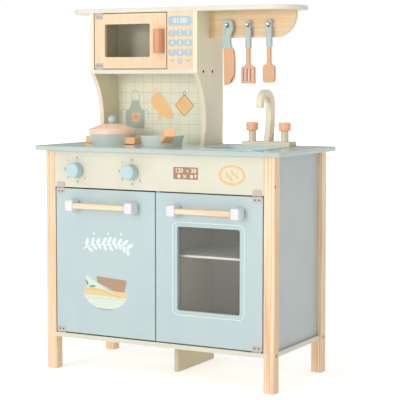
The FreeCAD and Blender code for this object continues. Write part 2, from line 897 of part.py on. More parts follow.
mini_x = cell_l + S.oven_door_left
mini_z = cell_z + S.oven_gap
mini_tall = lid_z - S.oven_gap - mini_z
mini_blank = box(
    "microwave_door_blank",
    (mini_x, tower_front, mini_z),
    (mini_x + S.oven_door_wide, tower_front + S.board, mini_z + mini_tall),
)
mini_soft = soften(
    "microwave_door_soft", mini_blank, S.edge_soft, lambda e: along_axis(e, Vector(0, 0, 1))
)
mini_window = plate(
    "mini_window_cut",
    "XZ",
    [rectangle(as_size(0), as_size(0), S.mini_wide, S.mini_tall, S.mini_corner)],
    S.board,
    (mini_x + S.mini_left, tower_front, mini_z + S.mini_base),
)
mini_pivot_x = mini_x + S.mini_pivot_edge
mini_pivot_y = tower_front + S.board / 2
mini_bore = S.mini_pin_radius + S.pin_clear
node(
    cut(
        "microwave_door", mini_soft, mini_window,
        *pin_bores(
            "mini", mini_pivot_x, mini_pivot_y, mini_z, mini_tall, mini_bore, pin_deep
        ),
    ),
    "microwave_door",
)
node(
    box(
        "microwave_pane",
        (mini_x + S.mini_left - lap, tower_front + S.board, mini_z + S.mini_base - lap),
        (
            mini_x + S.mini_left + S.mini_wide + lap, tower_front + S.board + S.pane_thick,
            mini_z + S.mini_base + S.mini_tall + lap,
        ),
    ),
    "microwave_pane",
)
# The grip is a block with a full-round front.
grip_x = mini_x + S.grip_left
grip_r = S.grip_wide / 2
node(
    plate(
        "microwave_grip",
        "XY",
        [(
            (0, S.grip_out),
            [
                (0, grip_r), (grip_r, 0, grip_r, -1), (S.grip_wide, grip_r, grip_r, -1),
                (S.grip_wide, S.grip_out), (0, S.grip_out),
            ],
        )],
        S.grip_tall,
        (grip_x, tower_front - S.grip_out, mini_z + S.grip_base),
    ),
    "microwave_grip",
)
mini_fixed, mini_moving = [], []
near = mini_pivot_x - S.plate_edge
for end, z_frame, z_door in (("top", lid_z, mini_z + mini_tall), ("low", cell_z, mini_z)):
    fixed, moving = pivot_pair(
        "mini_pivot_" + end, mini_pivot_x, tower_front, tower_front + S.board, z_frame, z_door,
        S.mini_plate_thick, S.mini_plate_tall, S.mini_pin_radius, near, near + S.plate_wide,
        False,
    )
    mini_fixed.append(fixed)
    mini_moving.append(moving)
group("microwave_frame_pivots", mini_fixed)
group("microwave_door_pivots", mini_moving)

# ---------------------------------------------------------------- hook rail, pegs and tools
rail = plate(
    "hook_rail_blank",
    "XZ",
    [(
        (0, 0),
        [
            (S.rail_long - S.rail_corner, 0),
            (S.rail_long, S.rail_corner, S.rail_corner, -1),
            (S.rail_long, S.rail_tall), (0, S.rail_tall), (0, 0),
        ],
    )],
    S.board,
    (tower_r, S.rail_front, lid_z - S.rail_tall),
)
peg_z = lid_z - S.peg_drop
peg_spots = [S.peg_first + S.peg_step * n for n in range(3)]
node(
    cut(
        "hook_rail", rail,
        *[
            rod("peg_bore%d" % n, (x, S.rail_front, peg_z), "+y", S.peg_radius, S.peg_in)
            for n, x in enumerate(peg_spots)
        ],
    ),
    "hook_rail",
)
pegs, discs = [], []
for n, x in enumerate(peg_spots):
    tip = S.rail_front - S.peg_out
    pin = rod("peg_pin%d" % n, (x, tip, peg_z), "+y", S.peg_radius, S.peg_out + S.peg_in)
    ball = doc.addObject("Part::Sphere", "peg_ball%d" % n)
    bind(ball, "Radius", S.ball_radius)
    place(ball, (x, tip, peg_z))
    pegs.append(fuse("peg%d" % n, pin, ball))
    ring = rod(
        "peg_ring%d" % n, (x, S.rail_front - S.disc_thick, peg_z), "+y",
        S.disc_radius, S.disc_thick,
    )
    hole = rod(
        "peg_ring_hole%d" % n, (x, S.rail_front - S.disc_thick, peg_z), "+y",
        S.peg_radius, S.disc_thick,
    )
    discs.append(cut("peg_disc%d" % n, ring, hole))
group("rail_pegs", pegs)
group("peg_discs", discs)

# The tools hang by a round eye, so the eye's centre is below the peg by the play in it.
eye_z = peg_z - S.eye_radius + S.peg_radius + S.peg_clear


def hang(name, corner, outline, peg_x, eye_drop, slots=()):
    """A flat tool on its peg. The outline starts at the corner and is measured from it."""
    x0 = corner
    eye = ((x0, -eye_drop), S.eye_radius)
    body = new_body(name + "_blank")
    sketch = new_sketch(body, "XZ", name + "_sketch")
    draw(sketch, outline[0], outline[1])
    hole = sketch.addGeometry(
        Part.Circle(Vector(x0.value, -eye_drop.value, 0), Vector(0, 0, 1), eye[1].value), False
    )
    pin_point(sketch, hole, 3, x0, -eye_drop)
    number = sketch.addConstraint(Sketcher.Constraint("Radius", hole, eye[1].value))
    sketch.setExpression("Constraints[%d]" % number, eye[1].text)
    for slot in slots:
        draw(sketch, *slot)
    doc.recompute()
    feature = body.newObject("PartDesign::Pad", name + "_pad")
    feature.Profile = sketch
    feature.Reversed = True
    bind(feature, "Length", S.tool_thick)
    body.Tip = feature
    place(body, (peg_x - x0, S.tool_front, eye_z + eye_drop))
    return node(body, name)


long, wide, waist = S.tool_long, S.knife_wide, S.knife_grip
hang(
    "knife",
    S.knife_eye_in,
    (
        (0, 0),
        [
            (0, -S.grip_long), (S.knife_step, -S.grip_long), (S.knife_step + 2, -long),
            (wide - 2, -long * 0.89, wide * 0.9, -1), (wide, -long * 0.74, wide * 2, -1),
            (wide - 1.3, -long * 0.51, wide * 7, -1), (waist, -S.grip_long, wide * 0.6, -1),
            (waist - 4, -long * 0.29, wide * 1.3, 1), (wide - 5, -long * 0.16, wide, 1),
            (wide - 5.5, -6, wide * 1.3, -1), (wide - 11.5, 0, 6.5, -1), (0, 0),
        ],
    ),
    peg_spots[0],
    S.eye_drop,
)
grip, neck, head = S.grip_half, S.neck_half, S.turner_half
shoulder, head_low = S.turner_shoulder, S.tool_long - 5
hang(
    "turner",
    head,
    (
        (head - grip, -grip),
        [
            (head - grip, -S.grip_long), (head - neck, -S.grip_long),
            (head - neck, -shoulder + 8), (0, -shoulder, head * 0.9, 1),
            (0, -head_low), (head * 2, -head_low), (head * 2, -shoulder),
            (head + neck, -shoulder + 8, head * 0.9, 1),
            (head + neck, -S.grip_long), (head + grip, -S.grip_long), (head + grip, -grip),
            (head - grip, -grip, grip, -1),
        ],
    ),
    peg_spots[1],
    S.eye_drop - 1,
    [
        rectangle(
            head + S.slot_pitch * n - S.slot_wide / 2, -head_low + 6,
            head + S.slot_pitch * n + S.slot_wide / 2, -head_low + 6 + S.slot_long,
        )
        for n in (-1, 0, 1)
    ],
)
head = S.spatula_half
shoulder, soft = S.spatula_shoulder, S.spatula_soft
low = -head_low
hang(
    "spatula",
    head,
    (
        (head - grip, -grip),
        [
            (head - grip, -S.grip_long + 1.5), (head - neck, -S.grip_long + 1.5),
            (head - neck, -shoulder + 6), (soft, -shoulder, head * 0.75, 1),
            (0, -shoulder - soft, soft, -1), (0, low + soft), (soft, low, soft, -1),
            (head * 2 - soft, low), (head * 2, low + soft, soft, -1),
            (head * 2, -shoulder - soft), (head * 2 - soft, -shoulder, soft, -1),
            (head + neck, -shoulder + 6, head * 0.75, 1),
            (head + neck, -S.grip_long + 1.5), (head + grip, -S.grip_long + 1.5),
            (head + grip, -grip), (head - grip, -grip, grip, -1),
        ],
    ),
    peg_spots[2],
    S.eye_drop + 1,
)

# ---------------------------------------------------------------- pot, lid and pan
# The pot stands clear of the tower: its left and rear edges keep their places.
pot_x = S.pot_rim - S.pot_left
pot_y = tower_front + S.pot_rear - S.pot_rim
turned(
    "pot_body",
    (
        (0, 0),
        [
            (S.pot_foot, 0), (S.pot_rim, S.pot_tall), (S.pot_rim - S.pot_wall, S.pot_tall),
            (S.pot_foot - S.pot_wall, S.pot_wall), (0, S.pot_wall), (0, 0),
        ],
    ),
    (pot_x, pot_y, top_z),
)
# The lugs are glued to the wall, so their inner faces follow its cone.
lugs = []
for n, turn in enumerate((0, 180)):
    reach = S.pot_rim + S.lug_long - 4
    block = box(
        "pot_lug%d" % n, (0, -S.lug_wide / 2, S.lug_base),
        (reach, S.lug_wide / 2, S.lug_base + S.lug_tall), loose=True,
    )
    block_soft = soften(
        "pot_lug_soft%d" % n, block, as_size(2),
        lambda e: e.BoundBox.XMin > 40 and (e.BoundBox.XLength < 0.001),
    )
    cone = doc.addObject("Part::Cone", "pot_lug_cone%d" % n)
    bind(cone, "Radius1", S.pot_foot)
    bind(cone, "Radius2", S.pot_rim)
    bind(cone, "Height", S.pot_tall)
    lug = cut("pot_lug_whole%d" % n, block_soft, cone)
    place(lug, (pot_x, pot_y, top_z), (Vector(0, 0, 1), CELLS["pot_turn"] + turn))
    lugs.append(lug)
group("pot_handles", lugs)

edge_r, crown, side = S.pot_rim + S.lid_over, S.lid_rise, S.lid_edge_tall
# the skirt clears the pot's wall at its own foot, where the cone is narrower
cone_taken = (S.pot_rim - S.pot_foot) * S.lid_skirt / (S.pot_tall - S.pot_wall)
skirt_r = S.pot_rim - S.pot_wall - S.lid_clear - cone_taken
wall, round_r = S.lid_wall, S.lid_shoulder
rim_in, rim_out = edge_r - round_r - wall, edge_r - round_r
rise = crown - side - round_r
# both faces of the dome are parts of spheres centred on the axis
dome_in = (rim_in * rim_in + rise * rise) / (rise * 2)
dome_out = (rim_out * rim_out + rise * rise) / (rise * 2)
lid = turned(
    "pot_lid",
    (
        (0, crown - wall),
        [
            (rim_in, side + round_r - wall, dome_in, 1),
            (skirt_r - wall, 0), (skirt_r - wall, -S.lid_skirt),
            (skirt_r, -S.lid_skirt), (skirt_r, 0), (edge_r, 0), (edge_r, side),
            (rim_out, side + round_r, round_r, -1),
            (0, crown, dome_out, -1), (0, crown - wall),
        ],
    ),
    (pot_x, pot_y, top_z + S.pot_tall),
)
ball = doc.addObject("Part::Sphere", "lid_ball")
bind(ball, "Radius", S.ball_knob)
place(ball, (pot_x, pot_y, top_z + S.pot_tall + crown + S.ball_knob * 0.88))
node(cut("lid_knob", ball, lid), "lid_knob")

turned(
    "pan_body",
    (
        (0, 0),
        [
            (S.pan_foot, 0), (S.pan_rim, S.pan_tall), (S.pan_rim - S.pot_wall, S.pan_tall),
            (S.pan_foot - S.pot_wall, S.pot_wall), (0, S.pot_wall), (0, 0),
        ],
    ),
    (S.pan_x, S.pan_y, top_z),
)
# The pan's handle rises away from the wall, and its inner end follows the wall's cone.
stick = box(
    "pan_handle_blank",
    (0, -S.pan_handle_wide / 2, 0),
    (S.pan_foot + S.pan_handle_long, S.pan_handle_wide / 2, S.pan_handle_tall),
    loose=True,
)
stick_soft = soften(
    "pan_handle_soft", stick, as_size(2), lambda e: along_axis(e, Vector(1, 0, 0))
)
place(
    stick_soft, (0, 0, S.pan_handle_base - S.pan_foot * 0.3),
    (Vector(0, 1, 0), -CELLS["pan_handle_lift"]), loose=True,
)
cone = doc.addObject("Part::Cone", "pan_handle_cone")
bind(cone, "Radius1", S.pan_foot - (S.pan_rim - S.pan_foot))
bind(cone, "Radius2", S.pan_foot + (S.pan_rim - S.pan_foot) * 3)
bind(cone, "Height", S.pan_tall * 4)
place(cone, (0, 0, -S.pan_tall), loose=True)
handle = cut("pan_handle", stick_soft, cone)
place(
    handle, (S.pan_x, S.pan_y, top_z), (Vector(0, 0, 1), CELLS["pan_handle_turn"])
)
node(handle, "pan_handle")

# ---------------------------------------------------------------- bolts
bolts = []
for n, (at, inward, sunk) in enumerate(
    [(at, inward, S.bolt_sunk) for at, inward in bolt_marks]
    + [(at, inward, as_size(3)) for at, inward in tower_bolts]
):
    way = 1 if inward == "+x" else -1
    head_at = (at[0] + way * (sunk - S.bolt_head_tall), at[1], at[2])
    shank_at = (at[0] + way * (sunk - 1), at[1], at[2])
    bolts.append(fuse(
        "bolt%d" % n,
        rod("bolt_head%d" % n, head_at, inward, S.bolt_head, S.bolt_head_tall),
        rod("bolt_shank%d" % n, shank_at, inward, S.bolt_shank, S.bolt_long),
    ))
group("frame_bolts", bolts)

# ---------------------------------------------------------------- check and write
doc.recompute()
faults = [
    "%s: %s" % (obj.Label, ", ".join(obj.State))
    for obj in doc.Objects
    if "Invalid" in obj.State or "Error" in obj.State
]
faults += [
    "%s: no valid shape" % obj.Label
    for obj in nodes
    if obj.Shape.isNull() or not obj.Shape.isValid() or not obj.Shape.Solids
]
if faults:
    raise SystemExit("Not written:\n" + "\n".join(faults))

os.makedirs("parts", exist_ok=True)
for obj in nodes:
    obj.Shape.exportStep("parts/%s.step" % obj.Label)
    print("%-24s %d solid(s) %10.1f mm3" % (obj.Label, len(obj.Shape.Solids), obj.Shape.Volume))
print("%d sub-parts written" % len(nodes))
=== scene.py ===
import math

import bmesh
import bpy
from mathutils import Euler, Matrix, Vector


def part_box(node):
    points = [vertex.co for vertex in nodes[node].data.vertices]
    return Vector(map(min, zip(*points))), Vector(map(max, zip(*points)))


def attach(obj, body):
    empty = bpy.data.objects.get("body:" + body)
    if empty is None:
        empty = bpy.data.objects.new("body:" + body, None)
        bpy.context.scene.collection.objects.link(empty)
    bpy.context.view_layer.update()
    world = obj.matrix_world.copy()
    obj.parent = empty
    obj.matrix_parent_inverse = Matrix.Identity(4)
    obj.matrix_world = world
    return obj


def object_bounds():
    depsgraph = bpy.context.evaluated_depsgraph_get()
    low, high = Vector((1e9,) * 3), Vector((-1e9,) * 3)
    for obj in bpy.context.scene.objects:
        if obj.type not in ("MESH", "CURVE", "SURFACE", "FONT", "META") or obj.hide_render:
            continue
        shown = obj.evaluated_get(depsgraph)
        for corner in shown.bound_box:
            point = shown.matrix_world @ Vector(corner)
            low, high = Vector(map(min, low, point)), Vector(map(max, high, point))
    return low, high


# A wooden play kitchen: pine posts and painted boards carry a worktop with a sink, and a tower
# above it holds a small microwave and a rail of wooden tools. Everything is in metres in the
# CAD's own frame; sizes of printed and added pieces are written in millimetres.

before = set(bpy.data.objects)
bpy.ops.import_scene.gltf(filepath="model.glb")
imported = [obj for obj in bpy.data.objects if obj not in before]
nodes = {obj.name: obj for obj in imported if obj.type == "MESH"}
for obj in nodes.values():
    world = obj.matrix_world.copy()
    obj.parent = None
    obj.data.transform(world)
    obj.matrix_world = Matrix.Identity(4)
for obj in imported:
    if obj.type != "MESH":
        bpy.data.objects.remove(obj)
cad_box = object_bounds()

MM = 0.001
FULL_TURN = 2 * math.pi


# ------------------------------------------------------------------ materials
def linear(hex_colour):
    """An sRGB hex colour as the linear colour that a shader takes."""
    parts = [int(hex_colour[i : i + 2], 16) / 255 for i in (1, 3, 5)]
    return tuple(
        [v / 12.92 if v <= 0.04045 else ((v + 0.055) / 1.055) ** 2.4 for v in parts] + [1.0]
    )


def put(tree, kind, settings=None, links=None):
    """Add a node; settings are its properties or input values, links are sockets to feed it."""
    node = tree.nodes.new("ShaderNode" + kind)
    for key, value in (settings or {}).items():
        if isinstance(key, str) and hasattr(node, key):
            setattr(node, key, value)
        else:
            node.inputs[key].default_value = value
    for key, socket in (links or {}).items():
        tree.links.new(socket, node.inputs[key])
    return node


def new_finish(name, settings):
    """A material with one Principled shader; returns the material, its tree and the shader."""
    finish = bpy.data.materials.new(name)
    finish.use_nodes = True
    tree = finish.node_tree
    tree.nodes.clear()
    shader = put(tree, "BsdfPrincipled", settings)
    put(tree, "OutputMaterial", None, {"Surface": shader.outputs["BSDF"]})
    return finish, tree, shader


def tone(tree, factor, dark, light, low=0.35, high=0.65):
    """Two colours blended by a pattern, between two levels of it."""
    ramp = put(tree, "ValToRGB", None, {"Fac": factor})
    ramp.color_ramp.elements[0].position = low
    ramp.color_ramp.elements[0].color = linear(dark)
    ramp.color_ramp.elements[1].position = high
    ramp.color_ramp.elements[1].color = linear(light)
    return ramp.outputs["Color"]


def relief(tree, shader, height, depth):
    """A fine bump of that depth in metres."""
    bump = put(tree, "Bump", {"Strength": 0.6, "Distance": depth}, {"Height": height})
    tree.links.new(bump.outputs["Normal"], shader.inputs["Normal"])


def softwood(name, along, pale, streak, line_mm=3.2, long_mm=260, rough=0.5):
    """Planed pine under a thin clear lacquer: growth lines a few millimetres apart run with the
    board, with finer fibres between them and a soft low gloss."""
    finish, tree, shader = new_finish(name, {"Roughness": rough, "IOR": 1.5})
    at = put(tree, "TexCoord").outputs["Object"]
    fine = 1 / (line_mm * MM)
    slow = 1 / (long_mm * MM)
    stretch = [fine, fine, fine]
    stretch["XYZ".index(along)] = slow
    grain = put(tree, "Mapping", {"Scale": stretch}, {"Vector": at})
    lines = put(
        tree, "TexNoise", {"Scale": 1.0, "Detail": 2.0, "Roughness": 0.5, "Distortion": 0.4},
        {"Vector": grain.outputs["Vector"]},
    )
    # fibres are 0.7 mm apart, about twice as coarse as real ones so that they still show
    fibre_step = [1 / (0.7 * MM)] * 3
    fibre_step["XYZ".index(along)] = 1 / (30 * MM)
    fibre_map = put(tree, "Mapping", {"Scale": fibre_step}, {"Vector": at})
    fibres = put(
        tree, "TexNoise", {"Scale": 1.0, "Detail": 1.0}, {"Vector": fibre_map.outputs["Vector"]}
    )
    grown = tone(tree, lines.outputs["Fac"], streak, pale, 0.38, 0.56)
    fleck = put(
        tree, "Mix", {"data_type": "RGBA", "blend_type": "MULTIPLY", 0: 0.06},
        {6: grown, 7: tone(tree, fibres.outputs["Fac"], "#9A7A58", "#FFFFFF", 0.3, 0.6)},
    )
    tree.links.new(fleck.outputs[2], shader.inputs["Base Color"])
    relief(tree, shader, fibres.outputs["Fac"], 0.06 * MM)
    return finish


def rolled_paint(name, colour, shade, rough=0.42, peel_mm=1.4):
    """Water paint rolled on fibreboard: an even colour that drifts very slightly over a
    hand's width, with the fine orange peel that a foam roller leaves."""
    finish, tree, shader = new_finish(name, {"IOR": 1.5})
    at = put(tree, "TexCoord").outputs["Object"]
    drift = put(tree, "TexNoise", {"Scale": 1 / (70 * MM), "Detail": 2.0}, {"Vector": at})
    peel = put(tree, "TexNoise", {"Scale": 1 / (peel_mm * MM), "Detail": 1.0}, {"Vector": at})
    tree.links.new(
        tone(tree, drift.outputs["Fac"], shade, colour, 0.3, 0.6), shader.inputs["Base Color"]
    )
    gloss = put(
        tree, "MapRange", {"To Min": rough - 0.05, "To Max": rough + 0.07},
        {"Value": peel.outputs["Fac"]},
    )
    tree.links.new(gloss.outputs["Result"], shader.inputs["Roughness"])
    relief(tree, shader, peel.outputs["Fac"], 0.03 * MM)
    return finish


def moulded_plastic(name, colour, rough, spark_mm=0.9, settings=None):
    """Injection-moulded plastic: one clean colour and the fine even spark texture of the tool."""
    base = {"Base Color": linear(colour), "Roughness": rough, "IOR": 1.49}
    base.update(settings or {})
    finish, tree, shader = new_finish(name, base)
    at = put(tree, "TexCoord").outputs["Object"]
    spark = put(tree, "TexNoise", {"Scale": 1 / (spark_mm * MM), "Detail": 1.0}, {"Vector": at})
    relief(tree, shader, spark.outputs["Fac"], 0.02 * MM)
    return finish


def enamelled_steel(name, colour, shade):
    """Thin pressed steel with baked enamel: smooth, slightly wavy where it was spun."""
    finish, tree, shader = new_finish(name, {"Roughness": 0.3, "IOR": 1.52})
    at = put(tree, "TexCoord").outputs["Object"]
    rings = put(
        tree, "TexWave",
        {"wave_type": "RINGS", "rings_direction": "Z", "Scale": 1 / (9 * MM), "Distortion": 1.5},
        {"Vector": at},
    )
    drift = put(tree, "TexNoise", {"Scale": 1 / (25 * MM)}, {"Vector": at})
    tree.links.new(
        tone(tree, drift.outputs["Fac"], shade, colour, 0.3, 0.62), shader.inputs["Base Color"]
    )
    relief(tree, shader, rings.outputs["Fac"], 0.012 * MM)
    return finish


def printed_ink(name, colour):
    """Screen-printed ink, a hair thick, with the faint mottle of the mesh it was pressed
    through."""
    finish, tree, shader = new_finish(name, {"Roughness": 0.5, "IOR": 1.45})
    at = put(tree, "TexCoord").outputs["Object"]
    mottle = put(tree, "TexNoise", {"Scale": 1 / (1.1 * MM), "Detail": 1.0}, {"Vector": at})
    base = put(
        tree, "Mix", {"data_type": "RGBA", "blend_type": "MULTIPLY", 0: 0.06, 6: linear(colour)},
        {7: tone(tree, mottle.outputs["Fac"], "#B0B0B0", "#FFFFFF")},
    )
    tree.links.new(base.outputs[2], shader.inputs["Base Color"])
    return finish


def two_tone_wood(name, grip_colour, blade_colour, blade_shade, split_z):
    """A flat beech tool dipped in paint: the grip has one colour above a crisp dip line, and
    the blade below it a thin stain that lets the grain show."""
    finish, tree, shader = new_finish(name, {"Roughness": 0.45, "IOR": 1.5})
    at = put(tree, "TexCoord").outputs["Object"]
    height = put(tree, "SeparateXYZ", None, {"Vector": at}).outputs["Z"]
    above = put(tree, "Math", {"operation": "GREATER_THAN", 1: split_z}, {0: height})
    grain = put(
        tree, "Mapping", {"Scale": (1 / (1.8 * MM), 1 / (1.8 * MM), 1 / (60 * MM))}, {"Vector": at}
    )
    lines = put(
        tree, "TexNoise", {"Scale": 1.0, "Detail": 2.0}, {"Vector": grain.outputs["Vector"]}
    )
    stained = tone(tree, lines.outputs["Fac"], blade_shade, blade_colour, 0.3, 0.6)
    body = put(
        tree, "Mix", {"data_type": "RGBA", 7: linear(grip_colour)},
        {0: above.outputs["Value"], 6: stained},
    )
    tree.links.new(body.outputs[2], shader.inputs["Base Color"])
    relief(tree, shader, lines.outputs["Fac"], 0.03 * MM)
    return finish


def tiled_print(name, colour, shade, joint_colour, pitch_mm, joint_mm, corner, top):
    """Paper-faced board printed with a grid of thin tile joints up to a height, sealed with a
    matt varnish; above it, and on the rear, the board is plain."""
    finish, tree, shader = new_finish(name, {"Roughness": 0.5, "IOR": 1.5})
    place = put(tree, "TexCoord")
    at, facing = place.outputs["Object"], place.outputs["Normal"]
    from_corner = put(tree, "VectorMath", {"operation": "SUBTRACT", 1: corner}, {0: at})
    parts = put(tree, "SeparateXYZ", None, {"Vector": from_corner.outputs["Vector"]})
    joints = []
    for axis in ("X", "Z"):
        steps = put(
            tree, "Math", {"operation": "MULTIPLY", 1: 1 / (pitch_mm * MM)},
            {0: parts.outputs[axis]},
        )
        nearest = put(
            tree, "Math", {"operation": "PINGPONG", 1: 0.5}, {0: steps.outputs["Value"]}
        )
        near = put(
            tree, "Math", {"operation": "LESS_THAN", 1: 0.5 * joint_mm / pitch_mm},
            {0: nearest.outputs["Value"]},
        )
        joints.append(near.outputs["Value"])
    joint = put(tree, "Math", {"operation": "MAXIMUM"}, {0: joints[0], 1: joints[1]})
    height = put(tree, "SeparateXYZ", None, {"Vector": at}).outputs["Z"]
    below = put(tree, "Math", {"operation": "LESS_THAN", 1: top}, {0: height})
    out = put(tree, "SeparateXYZ", None, {"Vector": facing}).outputs["Y"]
    front = put(tree, "Math", {"operation": "LESS_THAN", 1: -0.5}, {0: out})
    printed = put(
        tree, "Math", {"operation": "MULTIPLY"},
        {0: below.outputs["Value"], 1: front.outputs["Value"]},
    )
    seam = put(
        tree, "Math", {"operation": "MULTIPLY"},
        {0: joint.outputs["Value"], 1: printed.outputs["Value"]},
    )
    drift = put(tree, "TexNoise", {"Scale": 1 / (40 * MM), "Detail": 2.0}, {"Vector": at})
    tiles = tone(tree, drift.outputs["Fac"], shade, colour)
    face = put(
        tree, "Mix", {"data_type": "RGBA", 7: linear(joint_colour)},
        {0: seam.outputs["Value"], 6: tiles},
    )
    tree.links.new(face.outputs[2], shader.inputs["Base Color"])
    return finish


def turned_steel(name, colour, rough):
    """Machine-turned steel, with a fine random bump for its marks."""
    finish, tree, shader = new_finish(
        name, {"Base Color": linear(colour), "Metallic": 1.0, "Roughness": rough}
    )
    at = put(tree, "TexCoord").outputs["Object"]
    marks = put(tree, "TexNoise", {"Scale": 1 / (0.6 * MM), "Detail": 1.0}, {"Vector": at})
    relief(tree, shader, marks.outputs["Fac"], 0.01 * MM)
    return finish


pine_upright = softwood("lacquered_pine_upright", "Z", "#F1D4B4", "#DEB488")
pine_across = softwood("lacquered_pine_across", "X", "#EBD5B4", "#E0BF95", 3.0)
pine_rail = softwood("lacquered_pine_rail", "X", "#E2C59C", "#DAB98D", 4.0)
birch_face = softwood("birch_veneer", "Z", "#E6CBA9", "#E2C39D", 5.0, 320, 0.45)
stained_grip = softwood("stained_beech", "Z", "#D39870", "#C48961", 2.0, 90, 0.4)

cream_paint = rolled_paint("cream_paint", "#D4D1BE", "#D0CCB8")
tower_paint = rolled_paint("tower_cream_paint", "#E6DDC4", "#E2D8BD")
foot_cream = rolled_paint("foot_cream_paint", "#CBBF9F", "#C3B796")
# Painted light: the divider, shelf and back panel inside the oven get a whiter cream than the
# cream boards outside, standing in for light that the dim inside lacks.
inner_cream_painted_light = rolled_paint("inner_cream_paint_painted_light", "#F3EFE1", "#F1ECDD", 0.35)
top_cream = rolled_paint("top_cream_paint", "#D8D5C4", "#D3CFBD")
blue_paint = rolled_paint("pale_blue_paint", "#B4C4C4", "#B0C1C2")
worktop_paint = rolled_paint("worktop_blue_lacquer", "#B3C0BB", "#AFBDB9", 0.12, 6.0)
side_paint = rolled_paint("side_blue_paint", "#B5BDBB", "#B1B9B8")
white_paint = rolled_paint("white_gloss_paint", "#DDDCDC", "#D9D8D9", 0.3)
knob_blue = rolled_paint("knob_sky_paint", "#B2CBD0", "#ADC7CD", 0.28)
orange_paint = rolled_paint("apricot_paint", "#FFC892", "#FDC28B", 0.35)
tap_orange = rolled_paint("tap_apricot_paint", "#FFBD92", "#FDB68A", 0.35)
lid_pink = enamelled_steel("pink_enamel", "#FFD9C0", "#FDD2B8")
pan_grey = enamelled_steel("grey_blue_enamel", "#D3DBD2", "#CDD6CD")
basin_finish = moulded_plastic("basin_glossy_plastic", "#CBDDDC", 0.18)
pivot_finish = moulded_plastic("pivot_grey_plastic", "#B9B1A8", 0.4)
screw_dark = turned_steel("blackened_screw_steel", "#1F1A16", 0.6)
peg_steel = turned_steel("nickel_plated_steel", "#F7F7F5", 0.32)
disc_paint = rolled_paint("disc_pale_paint", "#DDD6CE", "#D8D0C8")
clear_pane = moulded_plastic("clear_acrylic", "#20231F", 0.04, 6.0, {"Alpha": 0.1})
hazy_pane = moulded_plastic("hazy_acrylic", "#B4B4B0", 0.06, 6.0, {"Alpha": 0.11})

wall_low, wall_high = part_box("tower_back")
tile_print = tiled_print(
    "tile_print", "#EEEDD8", "#E9E8D2", "#CFCDB4", 25, 1,
    (wall_high.x - 19.5 * MM, 0, wall_low.z + 19 * MM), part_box("microwave_floor")[0].z,
)
ink_brown = printed_ink("ink_brown", "#A17C63")
ink_light = printed_ink("ink_light", "#F3DCC5")
ink_orange = printed_ink("ink_orange", "#E6BC7A")
ink_white = printed_ink("ink_white", "#DFE8E4")
ink_bowl = printed_ink("ink_bowl_cream", "#D3DCCB")
ink_noodle = printed_ink("ink_noodle", "#E0C58F")
ink_noodle_line = printed_ink("ink_noodle_line", "#C9A66C")
ink_cocoa = printed_ink("ink_cocoa", "#AC8D71")
ink_leaf = printed_ink("ink_leaf", "#7F9D90")
ink_dots = printed_ink("ink_dots", "#8F9488")
ink_apron = printed_ink("ink_apron", "#B4C4B9")
ink_pocket = printed_ink("ink_pocket", "#F9C98E")
ink_heart = printed_ink("ink_heart", "#FB9C8A")
ink_mitt = printed_ink("ink_mitt", "#FFD092")
ink_outline = printed_ink("ink_outline", "#A89B86")
ink_check = printed_ink("ink_check", "#F0B877")
ink_key = printed_ink("ink_key_blue", "#A9BCC4")
ink_digit = printed_ink("ink_digit_white", "#DDE3E4")
ink_scale = printed_ink("ink_scale", "#6A6456")
ink_trim = printed_ink("trim_pale_blue", "#D3E4DF")

# the tools are dipped together, down to 64 mm below the knife's top
dip_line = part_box("knife")[1].z - 64 * MM
dipped = two_tone_wood("dipped_beech", "#A9BBB7", "#D8A880", "#D09C74", dip_line)

COATS = {
    "post_fl post_rl post_fr post_rr": pine_upright,
    "handle_bar_l handle_bar_r": pine_across,
    "hook_rail": pine_rail,
    "microwave_door microwave_panel": birch_face,
    "microwave_grip": stained_grip,
    "control_panel bottom_board": cream_paint,
    "tower_side_l tower_side_r tap_base tap_spout tap_dowels": tower_paint,
    "top_board microwave_floor": top_cream,
    "centre_foot": foot_cream,
    # painted light: the oven's inner boards take the whiter cream that stands in for light inside
    "centre_divider oven_shelf back_panel": inner_cream_painted_light,
    "door_l door_r": blue_paint,
    "worktop": worktop_paint,
    "side_panel_l side_panel_r": side_paint,
    "handle_caps_l handle_caps_r": white_paint,
    "control_knob_l control_knob_r lid_knob": knob_blue,
    "tap_knob_l tap_knob_r": tap_orange,
    "pot_handles pan_handle": orange_paint,
    "door_pivots_l door_pivots_r frame_pivots microwave_frame_pivots microwave_door_pivots":
        pivot_finish,
    "oven_pane": hazy_pane,
    "microwave_pane": clear_pane,
    "frame_bolts": screw_dark,
    "rail_pegs knob_spindle_l knob_spindle_r": peg_steel,
    "peg_discs": disc_paint,
    "sink_basin": basin_finish,
    "knife turner spatula": dipped,
    "pot_body pan_body": pan_grey,
    "pot_lid": lid_pink,
    "tower_back": tile_print,
}
for names, coat in COATS.items():
    for name in names.split():
        mesh = nodes[name].data
        mesh.materials.clear()
        mesh.materials.append(coat)

# Sawn boards and blocks have their edges eased with sandpaper.
EASED = {
    0.5: "side_panel_l side_panel_r oven_shelf tap_base centre_divider",
    0.6: "door_l door_r microwave_door centre_foot",
    0.7: "knife turner spatula peg_discs tap_dowels",
    0.8: "worktop",
    1.0: "top_board handle_bar_l handle_bar_r pan_handle tap_spout",
}
for ease_mm, names in EASED.items():
    for name in names.split():
        board = nodes[name]
        weld = board.modifiers.new("weld", "WELD")
        weld.merge_threshold = 0.02 * MM
        ease = board.modifiers.new("ease", "BEVEL")
        ease.width = ease_mm * MM
        ease.segments = 2
        ease.limit_method = "ANGLE"
        ease.angle_limit = math.radians(50)
        ease.use_clamp_overlap = False
        smooth = board.modifiers.new("smooth", "WEIGHTED_NORMAL")
        smooth.keep_sharp = False


# ------------------------------------------------------------------ outlines of printed art
def arc(cx, cz, rx, rz=None, start=0.0, sweep=FULL_TURN, count=40):
    """Points of an ellipse or part of one, in millimetres."""
    rz = rx if rz is None else rz
    closed = abs(sweep - FULL_TURN) < 1e-6
    steps = count if closed else count - 1
    points = []
    for n in range(count):
        a = start + sweep * n / steps
        points.append((cx + rx * math.cos(a), cz + rz * math.sin(a)))
    return points


